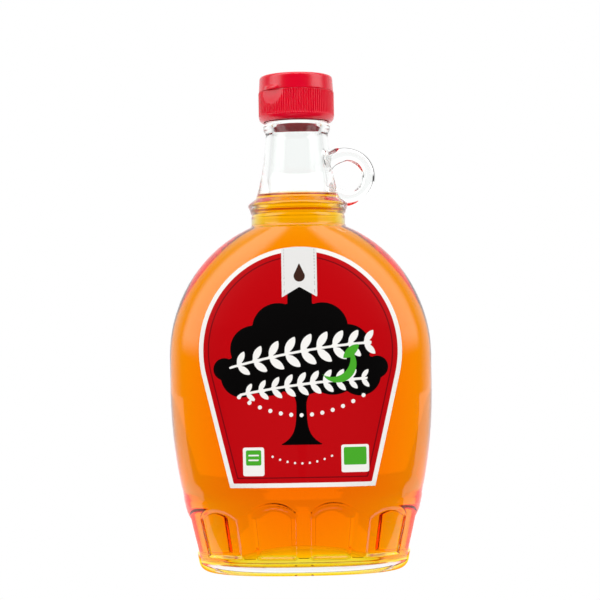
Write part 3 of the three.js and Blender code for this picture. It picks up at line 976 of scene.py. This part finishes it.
# Fill light low in front, which lights the label and cap evenly
FILL_PLACE = (0.0, -330.0, 30.0)
FILL_AIM = (0.0, 0.0, 95.0)
FILL_SIZE = (420.0, 160.0)
FILL_POWER = 0.8


def stage_light(nodes, links, shown, cast):
    """A strength that is one value where it is seen directly and another where it lights the object."""
    path = nodes.new("ShaderNodeLightPath")
    pick = nodes.new("ShaderNodeMix")
    links.new(path.outputs["Is Camera Ray"], pick.inputs["Factor"])
    if isinstance(cast, float):
        pick.inputs[2].default_value = cast
    else:
        links.new(cast, pick.inputs[2])
    pick.inputs[3].default_value = shown
    return pick.outputs[0]


def glowing_sheet(name, corners, colour, light):
    made = bpy.data.materials.new(name)
    made.use_nodes = True
    nodes, links = made.node_tree.nodes, made.node_tree.links
    nodes.remove(nodes["Principled BSDF"])
    glow = nodes.new("ShaderNodeEmission")
    glow.inputs["Color"].default_value = colour
    links.new(stage_light(nodes, links, 1.0, light), glow.inputs["Strength"])
    links.new(glow.outputs["Emission"], nodes["Material Output"].inputs["Surface"])
    sheet = new_object(name, corners, [tuple(range(len(corners)))], made)
    return sheet


def make_floor():
    half = FLOOR_WIDTH / 2
    front = [(-half, -FLOOR_FRONT, 0), (half, -FLOOR_FRONT, 0)]
    corners = front + [(half, FLOOR_BACK, 0), (-half, FLOOR_BACK, 0)]
    glowing_sheet("floor", corners, (1, 1, 1, 1), FLOOR_LIGHT)
    turn = np.linspace(0, 2 * math.pi, 64, endpoint=False)
    x = GLOW_HALF_WIDTH * np.cos(turn)
    y = GLOW_CENTRE + GLOW_HALF_DEPTH * np.sin(turn)
    oval = np.column_stack([x, y, np.full(len(turn), GLOW_LIFT)])
    glow = glowing_sheet("floor_glow", oval, GLOW_COLOUR, FLOOR_LIGHT)
    glow.visible_camera = False


def make_world():
    """White light behind, softer light from the sides and above, and a front that shows only through glass."""
    world = bpy.data.worlds.new("studio")
    bpy.context.scene.world = world
    world.use_nodes = True
    nodes, links = world.node_tree.nodes, world.node_tree.links
    place = nodes.new("ShaderNodeTexCoord")
    parts = nodes.new("ShaderNodeSeparateXYZ")
    links.new(place.outputs["Generated"], parts.inputs["Vector"])

    def ramp(source, start, end, low, high):
        node = nodes.new("ShaderNodeMapRange")
        node.interpolation_type = "SMOOTHSTEP"
        set_inputs(node, From_Min=start, From_Max=end, To_Min=low, To_Max=high)
        links.new(source, node.inputs["Value"])
        return node.outputs["Result"]

    def math_node(operation, first, second):
        node = nodes.new("ShaderNodeMath")
        node.operation = operation
        links.new(first, node.inputs[0])
        links.new(second, node.inputs[1])
        return node.outputs["Value"]

    back = ramp(parts.outputs["Y"], *BACK_LIGHT)
    sides = ramp(parts.outputs["Y"], *SIDE_LIGHT)
    sides = math_node("MULTIPLY", sides, ramp(parts.outputs["Y"], *SIDE_LIGHT_BACK))
    sides = math_node("MULTIPLY", sides, ramp(parts.outputs["Z"], *SIDE_LIGHT_FOOT))
    top = ramp(parts.outputs["Z"], *TOP_LIGHT)
    path = nodes.new("ShaderNodeLightPath")
    front = ramp(parts.outputs["Y"], *FRONT_LIGHT)
    front = math_node("MULTIPLY", front, path.outputs["Is Transmission Ray"])
    around = math_node("ADD", math_node("ADD", sides, back), math_node("ADD", top, front))
    strength = stage_light(nodes, links, 1.0, around)
    links.new(strength, nodes["Background"].inputs["Strength"])
    nodes["Background"].inputs["Color"].default_value = (1, 1, 1, 1)


def make_fill():
    data = bpy.data.lights.new("fill", "AREA")
    data.shape = "RECTANGLE"
    data.size, data.size_y = (side * MM for side in FILL_SIZE)
    data.energy = FILL_POWER
    fill = bpy.data.objects.new("fill", data)
    bpy.context.scene.collection.objects.link(fill)
    fill.location = [c * MM for c in FILL_PLACE]
    towards = Vector(FILL_AIM) - Vector(FILL_PLACE)
    fill.rotation_euler = towards.to_track_quat("-Z", "Y").to_euler()
    fill.visible_camera = False
    fill.visible_glossy = False
    fill.visible_transmission = False


def make_camera():
    data = bpy.data.cameras.new("camera")
    data.lens = CAMERA_LENS
    data.sensor_width = 36.0
    data.clip_start = 0.01
    camera = bpy.data.objects.new("camera", data)
    bpy.context.scene.collection.objects.link(camera)
    camera.location = (0, -CAMERA_DISTANCE * MM, CAMERA_HEIGHT * MM)
    camera.rotation_mode = "XYZ"
    pitch = math.radians(90 + CAMERA_PITCH)
    camera.rotation_euler = (pitch, math.radians(CAMERA_ROLL), 0)
    bpy.context.scene.camera = camera


def make_settings():
    scene = bpy.context.scene
    scene.view_settings.view_transform = "Standard"
    scene.cycles.max_bounces = 32
    scene.cycles.transmission_bounces = 28
    scene.cycles.glossy_bounces = 10
    scene.cycles.transparent_max_bounces = 16


# Pieces on their places

def place(piece, slot, *nodes):
    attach(piece, BODY)
    if nodes:
        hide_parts(*nodes)


plastic = plastic_material()
flask = make_flask(glass_material("clear_glass", 1.0), glass_material("wetted_glass", 0.0))
place(flask, "clear_glass", "bottle_glass")
place(make_syrup(syrup_material()), "amber_syrup", "syrup")
place(make_label(label_material()), "printed_paper", "front_label")
place(make_cap_skirt(plastic), "red_plastic", "cap_base")
place(make_cap_lid(plastic), "red_plastic", "cap_lid")
place(make_hinge(plastic), "red_plastic")
make_floor()
make_world()
make_fill()
make_camera()
make_settings()
